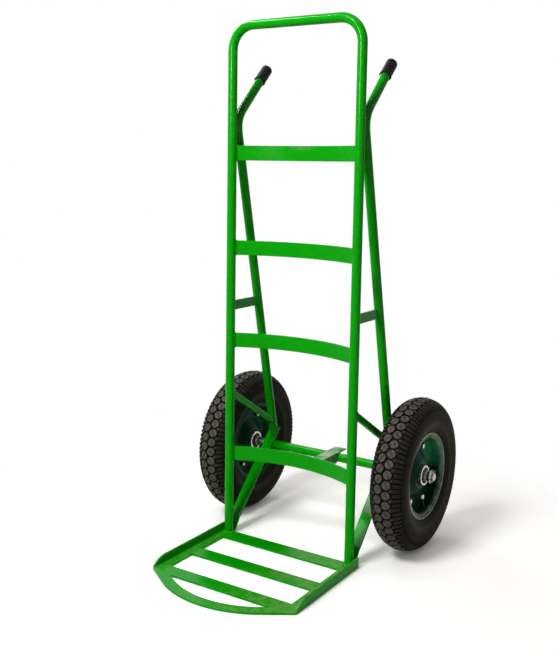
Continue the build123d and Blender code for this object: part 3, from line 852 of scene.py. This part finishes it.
def valveProfile():  # radius, distance from the axle, and whether the cap's ribs show there
    cap, stem, tip = valveLook["cap"], valveLook["stem"], valveLook["tip"]
    foot = tip + valveLook["capLength"]
    seat = tyreLook["beadSeat"]
    return [
        (cap - 0.0016, tip, False),
        (cap - 0.0004, tip + 0.0008, True),
        (cap, tip + 0.0020, True),
        (cap, foot - 0.0012, True),
        (cap - 0.0006, foot, False),
        (stem - 0.0006, foot + 0.0006, False),
        (stem - 0.0002, foot + 0.010, False),
        (stem, seat - 0.009, False),
        (stem, seat, False),
    ]


valveFinish = makeValveFinish()
for sideName, side in sides.items():
    shell = Shell()
    shell.rings([valveRing(side, *ring) for ring in valveProfile()])
    made = shell.piece("valve_ribbed_" + sideName, valveFinish, "wheel_" + sideName, sharp=35)
    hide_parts("valve_stem_" + sideName)
print("valves made")

# Grips: pushed-on rubber sleeves with a rolled lip and a rounded end
gripLook = {
    "lean": 45.0,
    "wall": 0.0028,
    "end": 0.005,
    "edge": 0.0006,
    "lipRise": 0.0006,
    "lipStart": 0.0010,
    "lipLength": 0.0045,
    "waist": 0.0002,       # how much slimmer the sleeve is past its lip
    "waistRun": 0.003,
    "endRound": 0.0062,
    "roundSteps": (22, 45, 65, 82),
    "sides": 40,
    "waver": 0.00022,
    "waverTurns": 3,
    "waverPitch": 90,
}


def gripProfile(radius, length):  # radius and level, from the closed end of the bore, over the lip, to the end
    look = gripLook
    bore = radius - look["wall"]
    edge, lip, end = look["edge"], look["lipLength"], look["endRound"]
    waist = radius - look["waist"]
    waistStart = lip + look["waistRun"]
    floor = length - look["end"]
    profile = [(edge, floor), (bore, floor), (bore, edge), (bore + edge, 0.0), (radius - edge, 0.0)]
    profile += [(radius + look["lipRise"], level) for level in (look["lipStart"], lip * 0.6)]
    profile += [(radius, lip), (waist, waistStart)]
    profile += [(waist, between(waistStart, length - end, i / 8)) for i in range(1, 9)]
    for bend in map(math.radians, look["roundSteps"]):
        profile.append((radius - end * (1 - math.cos(bend)), length - end * (1 - math.sin(bend))))
    return profile + [(edge, length)]


for sideName in sides:
    look = gripLook
    low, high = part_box("grip_" + sideName)
    radius = (high.x - low.x) / 2
    length = (high.y - low.y) * math.sqrt(2) - 2 * radius
    lean = math.radians(look["lean"])
    along = Vector((0, math.sin(lean), math.cos(lean)))
    upward = Vector((0, -math.cos(lean), math.sin(lean)))
    aside = Vector((1, 0, 0))
    foot = (low + high) / 2 - along * (length / 2)
    rings = []
    for reach, level in gripProfile(radius, length):
        waver = look["waver"] if reach > radius - look["wall"] + 0.001 else 0.0  # the bore stays true
        ring = []
        for a in turned(look["sides"]):
            there = reach + waver * math.sin(look["waverTurns"] * a + level * look["waverPitch"])
            ring.append(foot + along * level + aside * (there * math.cos(a)) + upward * (there * math.sin(a)))
        rings.append(ring)
    shell = Shell()
    shell.rings(rings)
    made = shell.piece("grip_sleeve_" + sideName, rubbers["gripRubber"], "frame", sharp=50)
    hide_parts("grip_" + sideName)
print("grips moulded")

# Weld beads, laid where the steel pieces meet and painted over
weldLook = {
    "sizes": {
        "crossbar": 0.0024, "stay": 0.0021, "brace": 0.0024, "leg": 0.0028, "bend": 0.0030, "upright": 0.0046,
        "strut": 0.0038, "axle": 0.0026, "toe": 0.0021, "bracketBar": 0.0026, "bracketTube": 0.0024, "hub": 0.0022,
    },
    "ripple": 0.0026,
    "rippleDepth": 0.16,
    "lump": 0.14,
    "lumpWaves": ((310, 1, 0.6), (733, 2, 0.4)),
    "endShares": (0.45, 0.78, 0.93),
    "step": 0.0008,
    "sides": 9,
    "endInset": 0.001,
    "barInset": 0.006,
    "barRun": 0.012,       # over this length a crossbar's end gives its direction
    "braceShares": (0.60, 0.40),
    "legRises": (0.20, 0.06),
    "bendSearch": (1.06, 0.002, 30),  # lowest height, step and number of steps
    "bendAside": 0.0062,
    "bendPoints": (-0.018, -0.009, 0.0, 0.009, 0.018),
    "bendBow": (0.0635, 0.016),
    "bendLift": 0.0001,
    "uprightRise": 0.0006,
    "uprightGap": 0.0085,  # the upright's bead stops here, beside the strut's foot
    "strutPoints": ((-0.0085, 0.0, 0.0035), (0.0, 0.0022, 0.0042), (0.0085, 0.0, 0.0035)),
    "axleSink": 0.0018,
    "axleAside": 0.0092,
    "axleInset": 0.002,
    "toeSink": 0.0013,
    "toeCorner": 0.003,
    "bracketDrop": 0.003,
    "bracketRise": 0.0004,
    "bracketSeat": (0.62, 0.86),      # along and above the axle tube's middle, in its radii
    "hubRise": 0.0006,
}


def surfaceHit(name, start, way):
    found, place, *_ = nodes[name].ray_cast(Vector(start), Vector(way).normalized())
    if not found:
        raise ValueError("no surface of %s from %s along %s" % (name, tuple(start), tuple(way)))
    return place


def frontOf(name, x, z):
    return surfaceHit(name, (x, -1.0, z), (0, 1, 0))


def rearOf(name, x, z):
    return surfaceHit(name, (x, 1.0, z), (0, -1, 0))


def middleAlongY(name, x, z):  # where a tube's middle is at a height
    return (frontOf(name, x, z) + rearOf(name, x, z)) / 2


def evenly(points, step, closed):  # points at even steps along a route
    route = list(points) + ([points[0]] if closed else [])
    lengths = [0.0]
    for a, b in zip(route, route[1:]):
        lengths.append(lengths[-1] + (b - a).length)
    count = max(4, int(lengths[-1] / step))
    made = []
    leg = 0
    for i in range(count if closed else count + 1):
        reach = lengths[-1] * i / count
        while leg < len(route) - 2 and lengths[leg + 1] < reach:
            leg += 1
        share = (reach - lengths[leg]) / max(lengths[leg + 1] - lengths[leg], 1e-9)
        made.append(route[leg].lerp(route[leg + 1], share))
    return made


def untwisted(rings):  # starts each ring at the point nearest to the last ring's first
    made = [rings[0]]
    for ring in rings[1:]:
        last = made[-1][0]
        first = min(range(len(ring)), key=lambda j: (ring[j] - last).length)
        made.append(ring[first:] + ring[:first])
    return made


def bead(shell, points, kind, closed=False):
    look = weldLook
    route = evenly([Vector(p) for p in points], look["step"], closed)
    count = len(route)
    phase = chance.uniform(0, 6)
    rings = []
    for i, place in enumerate(route):
        ahead = route[(i + 1) % count] if closed else route[min(i + 1, count - 1)]
        behind = route[i - 1] if closed or i else route[0]
        along = (ahead - behind).normalized()
        aside = along.orthogonal().normalized()
        above = along.cross(aside)
        reach = i * look["step"]
        ripple = abs(math.sin(math.pi * reach / look["ripple"] + phase))
        lump = sum(math.sin(reach * wave + turns * phase) * share for wave, turns, share in look["lumpWaves"])
        radius = look["sizes"][kind] * (1 - look["rippleDepth"] * ripple + look["lump"] * lump)
        ends = min(i, count - 1 - i)
        if not closed and ends < len(look["endShares"]):
            radius *= look["endShares"][ends]
        rings.append([place + aside * (radius * math.cos(a)) + above * (radius * math.sin(a))
                      for a in turned(look["sides"])])
    shell.rings(untwisted(rings), loop=closed)


def boxLoop(low, high, axis, count=7):  # the outline of a bar's end, as points in the plane across an axis
    u, v = [i for i in range(3) if i != axis]
    corners = [(low[u], low[v]), (high[u], low[v]), (high[u], high[v]), (low[u], high[v])]
    points = []
    for (a, b), (c, d) in zip(corners, corners[1:] + corners[:1]):
        points += [(between(a, c, i / count), between(b, d, i / count)) for i in range(count)]
    return points


def tubeLoop(middle, along, radius, onto, count=28):  # where a tube's skin meets another node
    aside = Vector((1, 0, 0))
    above = Vector(along).cross(aside).normalized()
    return [surfaceHit(onto, middle + aside * (radius * math.cos(a)) + above * (radius * math.sin(a)), along)
            for a in turned(count)]


def weldCrossbars(shell):
    for name in [n for n in nodes if n.startswith("crossbar")]:
        low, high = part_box(name)
        z = (low.z + high.z) / 2
        for side in sides.values():
            x = side * (high.x - weldLook["barInset"])
            start = x - side * weldLook["barRun"]
            front = frontOf(name, x, z)
            way = front - frontOf(name, start, z)
            outline = boxLoop((0, front.y, low.z), (0, rearOf(name, x, z).y, high.z), 0)
            bead(shell, [surfaceHit("main_hoop", (start, y - way.y, level), way) for y, level in outline],
                 "crossbar", closed=True)


def weldStays(shell):
    for sideName in sides:
        low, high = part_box("upper_stay_" + sideName)
        for onto, way in (("main_hoop", -1), ("handle_leg_" + sideName, 1)):
            loop = [surfaceHit(onto, (x, (low.y + high.y) / 2, z), (0, way, 0))
                    for x, z in boxLoop(low, high, 1)]
            bead(shell, loop, "stay", closed=True)


def weldBraces(shell):
    for sideName, side in sides.items():
        name = "diagonal_brace_" + sideName
        low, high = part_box(name)
        upper, lower = (middleAlongY(name, side * uprightX, between(low.z, high.z, share))
                        for share in weldLook["braceShares"])
        radius = (high.x - low.x) / 2
        bead(shell, tubeLoop(upper, upper - lower, radius, "main_hoop"), "brace", closed=True)
        bead(shell, tubeLoop(lower, lower - upper, radius, "handle_leg_" + sideName), "brace", closed=True)


def weldLegFoot(shell, leg, strut, x):  # the leg stands on the strut
    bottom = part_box(leg)[0].z
    upper, lower = (middleAlongY(leg, x, bottom + rise) for rise in weldLook["legRises"])
    bead(shell, tubeLoop(upper, lower - upper, tubeRadius, strut), "leg", closed=True)


def weldLegBend(shell, leg, x):  # the leg's bend lies along the upright
    lowest, step, count = weldLook["bendSearch"]
    bendZ = min((lowest + step * i for i in range(count)), key=lambda z: frontOf(leg, x, z).y)
    bowLength, bowDepth = weldLook["bendBow"]
    start = tubeRadius + weldLook["bendLift"]
    for hand in (-1, 1):
        bead(shell, [(x + hand * weldLook["bendAside"], start + (z / bowLength) ** 2 * bowDepth, bendZ + z)
                     for z in weldLook["bendPoints"]], "bend")


def weldUprightFoot(shell, x):  # the upright stands on the rail, with the strut's foot behind it
    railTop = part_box("toe_slat_rear")[1].z
    bead(shell, [(x + tubeRadius * math.cos(a), tubeRadius * math.sin(a), railTop + weldLook["uprightRise"])
                 for a in turned(40, math.pi / 2) if tubeRadius * math.sin(a) < weldLook["uprightGap"]], "upright")
    bead(shell, [(x + a, tubeRadius + b, railTop + c) for a, b, c in weldLook["strutPoints"]], "strut")


def weldAxleTube(shell, strut, x):  # the axle tube, under the strut
    look = weldLook
    low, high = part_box(strut)
    lower, upper = (surfaceHit(strut, (x, axleY - ahead, 0.5), (0, 0, -1)) for ahead in (0.10, 0.05))
    way = (upper - lower).normalized()
    across = Vector((0, -way.z, way.y))
    for hand in (-1, 1):
        touch = Vector((0, axleY, axleZ)) + across * (tubeRadius - look["axleSink"]) + way * (hand * look["axleAside"])
        ends = (low.x + look["axleInset"], high.x - look["axleInset"])
        bead(shell, [(end, touch.y, touch.z) for end in ends], "axle")


def weldLegs(shell):
    for sideName, side in sides.items():
        leg, strut = "handle_leg_" + sideName, "axle_strut_" + sideName
        x = side * uprightX
        weldLegFoot(shell, leg, strut, x)
        weldLegBend(shell, leg, x)
        weldUprightFoot(shell, x)
        weldAxleTube(shell, strut, x)


def weldToe(shell):
    inset = weldLook["endInset"]
    railLow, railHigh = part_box("toe_rail_right")
    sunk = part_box("toe_slat_rear")[1].z - weldLook["toeSink"]
    for name in [n for n in nodes if n.startswith("toe_slat")]:
        low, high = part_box(name)
        for side in sides.values():
            x = side * railLow.x
            bead(shell, [(x, low.y + inset, sunk), (x, high.y - inset, sunk)], "toe")
    for side in sides.values():
        ends = (side * (railLow.x + inset), side * (railHigh.x - weldLook["toeCorner"]))
        bead(shell, [(x, railLow.y, sunk) for x in ends], "toe")


def weldBracket(shell):
    low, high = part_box("axle_bracket")
    left, right = low.x + weldLook["endInset"], high.x - weldLook["endInset"]
    level = min(high.z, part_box("crossbar_bottom")[1].z) - weldLook["bracketDrop"]
    rear = [surfaceHit("crossbar_bottom", (x, 0.3, level), (0, -1, 0)) for x in (left, (low.x + high.x) / 2, right)]
    bead(shell, [(p.x, p.y, high.z + weldLook["bracketRise"]) for p in rear], "bracketBar")
    aside, above = (tubeRadius * share for share in weldLook["bracketSeat"])
    for y in (axleY - aside, axleY + aside):
        bead(shell, [(left, y, axleZ + above), (right, y, axleZ + above)], "bracketTube")


welds = {
    "welds_crossbars": weldCrossbars,
    "welds_stays": weldStays,
    "welds_braces": weldBraces,
    "welds_legs": weldLegs,
    "welds_toe": weldToe,
    "welds_bracket": weldBracket,
}
for name, lay in welds.items():
    shell = Shell()
    lay(shell)
    shell.piece(name, enamel, "frame", sharp=70)
print("weld beads laid")

for sideName, side in sides.items():  # the rim halves are welded round the hub
    low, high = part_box("hub_" + sideName)
    radius = (high.z - low.z) / 2
    rise = weldLook["hubRise"]
    shell = Shell()
    for face, half in ((-1, "rim_inner_"), (1, "rim_outer_")):
        outside = wheelPoint(side, face * 0.2, radius + 0.004, 0.3)
        across = abs(surfaceHit(half + sideName, outside, (-side * face, 0, 0)).x) - wheelX
        bead(shell, [wheelPoint(side, across + face * rise, radius + rise, a) for a in turned(60)], "hub", closed=True)
    shell.piece("welds_hub_" + sideName, rimEnamel, "wheel_" + sideName, sharp=70)
print("hub welds laid")

# Floor, light and camera
stageLook = {
    "floorReach": 30.0,
    "floorTone": 0.95,
    "floorBounce": 0.85,   # what the object gets back from the floor
    "floorLift": 0.53,
    "liftTone": (1.0, 0.97, 0.915, 1.0),
    "contactReach": 0.13,  # floor this near to the object gets less of the lift, a painted contact shadow
    "fadeStart": 0.58,     # from here the floor goes over into the white backdrop
    "fadeEnd": 1.08,
    "ambient": 0.02,
}
floorMesh = bpy.data.meshes.new("floor")
reach = stageLook["floorReach"]
corners = [(x * reach, y * reach, 0) for x, y in ((-1, -1), (1, -1), (1, 1), (-1, 1))]
floorMesh.from_pydata(corners, [], [(0, 1, 2, 3)])
floor = placed("floor", floorMesh)


def makeFloor():
    look = stageLook
    f = Finish("paleFloor")
    x, y, _ = f.parts(f.place)
    seen = f.seen()
    plain, dim = (f.node("BsdfDiffuse", None, {"Color": (look[key], look[key], look[key], 1)})
                  for key in ("floorTone", "floorBounce"))
    lift = f.node("Emission", None, {"Color": look["liftTone"], "Strength": look["floorLift"]})
    lifted = f.node("AddShader", None, {0: plain, 1: lift})
    # painted contact shadow: the lift fades where the object is near
    clear = f.node("AmbientOcclusion", {"samples": 12}, {"Distance": look["contactReach"]}, "AO")
    near = f.node("MixShader", None, {0: clear, 1: plain, 2: lifted})
    near = f.node("MixShader", None, {0: seen, 1: dim, 2: near})
    white = f.node("Emission", None, {"Color": (1, 1, 1, 1), "Strength": 1.0})
    far = f.step((x * x + y * y) ** 0.5, look["fadeStart"], look["fadeEnd"]) * seen
    shader = f.node("MixShader", None, {0: far, 1: near, 2: white})
    f.node("OutputMaterial", None, {"Surface": shader})
    return f.owner


floorMesh.materials.append(makeFloor())

sky = Finish("studio", bpy.data.worlds.new("studio"))
ambient = stageLook["ambient"]
glow = sky.node("Background", None, {"Color": (1, 1, 1, 1), "Strength": sky.seen() * (1 - ambient) + ambient})
sky.node("OutputWorld", None, {"Surface": glow})
scene.world = sky.owner

lampLook = {  # place, what it points at, width and height, power
    "keySoftbox": ((-0.45, -2.2, 2.95), (0.0, 0.1, 0.6), (0.85, 0.85), 90.0),
    "frontGleam": ((-0.38, -2.8, 1.79), (0.0, 0.1, 1.5), (0.6, 0.92), 120.0),
    "backSoftbox": ((-1.9, 1.6, 2.2), (0.0, 0.1, 0.6), (1.2, 1.2), 20.0),
    "rightFill": ((2.6, -2.0, 1.6), (0.1, 0.1, 0.5), (1.6, 1.6), 1.5),
    "topGleam": ((-1.5, -0.55, 3.1), (0.0, 0.0, 1.0), (1.7, 0.5), 100.0),
}
for name, (place, aim, size, power) in lampLook.items():
    data = bpy.data.lights.new(name, "AREA")
    data.shape = "RECTANGLE"
    data.size, data.size_y = size
    data.energy = power
    made = placed(name, data)
    made.location = place
    made.rotation_euler = (Vector(aim) - Vector(place)).to_track_quat("-Z", "Y").to_euler()
    made.visible_diffuse = not name.endswith("Gleam")  # a gleam is only seen mirrored in the gloss

cameraLook = {
    "place": (1.2026, -1.9225, 0.9857),
    "yaw": 32.347,
    "pitch": 7.451,
    "roll": 0.956,
    "focal": 910.97,           # in pixels
    "middle": (285.8, 287.1),  # where the lens points, in pixels
    "picture": (557, 656),
    "film": 36.0,
}
look = cameraLook
yaw, pitch, roll = (math.radians(look[key]) for key in ("yaw", "pitch", "roll"))
forward = Vector((-math.sin(yaw) * math.cos(pitch), math.cos(yaw) * math.cos(pitch), -math.sin(pitch)))
level = Vector((math.cos(yaw), math.sin(yaw), 0))
upright = level.cross(forward)
rightWay = level * math.cos(roll) + upright * math.sin(roll)
upWay = upright * math.cos(roll) - level * math.sin(roll)
pictureWidth, pictureHeight = look["picture"]
lens = bpy.data.cameras.new("photoLens")
lens.sensor_width = look["film"]
lens.lens = look["focal"] / pictureHeight * look["film"]
lens.shift_x = (pictureWidth / 2 - look["middle"][0]) / pictureHeight
lens.shift_y = (look["middle"][1] - pictureHeight / 2) / pictureHeight
camera = placed("photoCamera", lens)
facing = Matrix((rightWay, upWay, -forward)).transposed().to_4x4()
camera.matrix_world = Matrix.Translation(look["place"]) @ facing
scene.camera = camera
scene.view_settings.view_transform = "Standard"
print("stage, lamps and camera set")
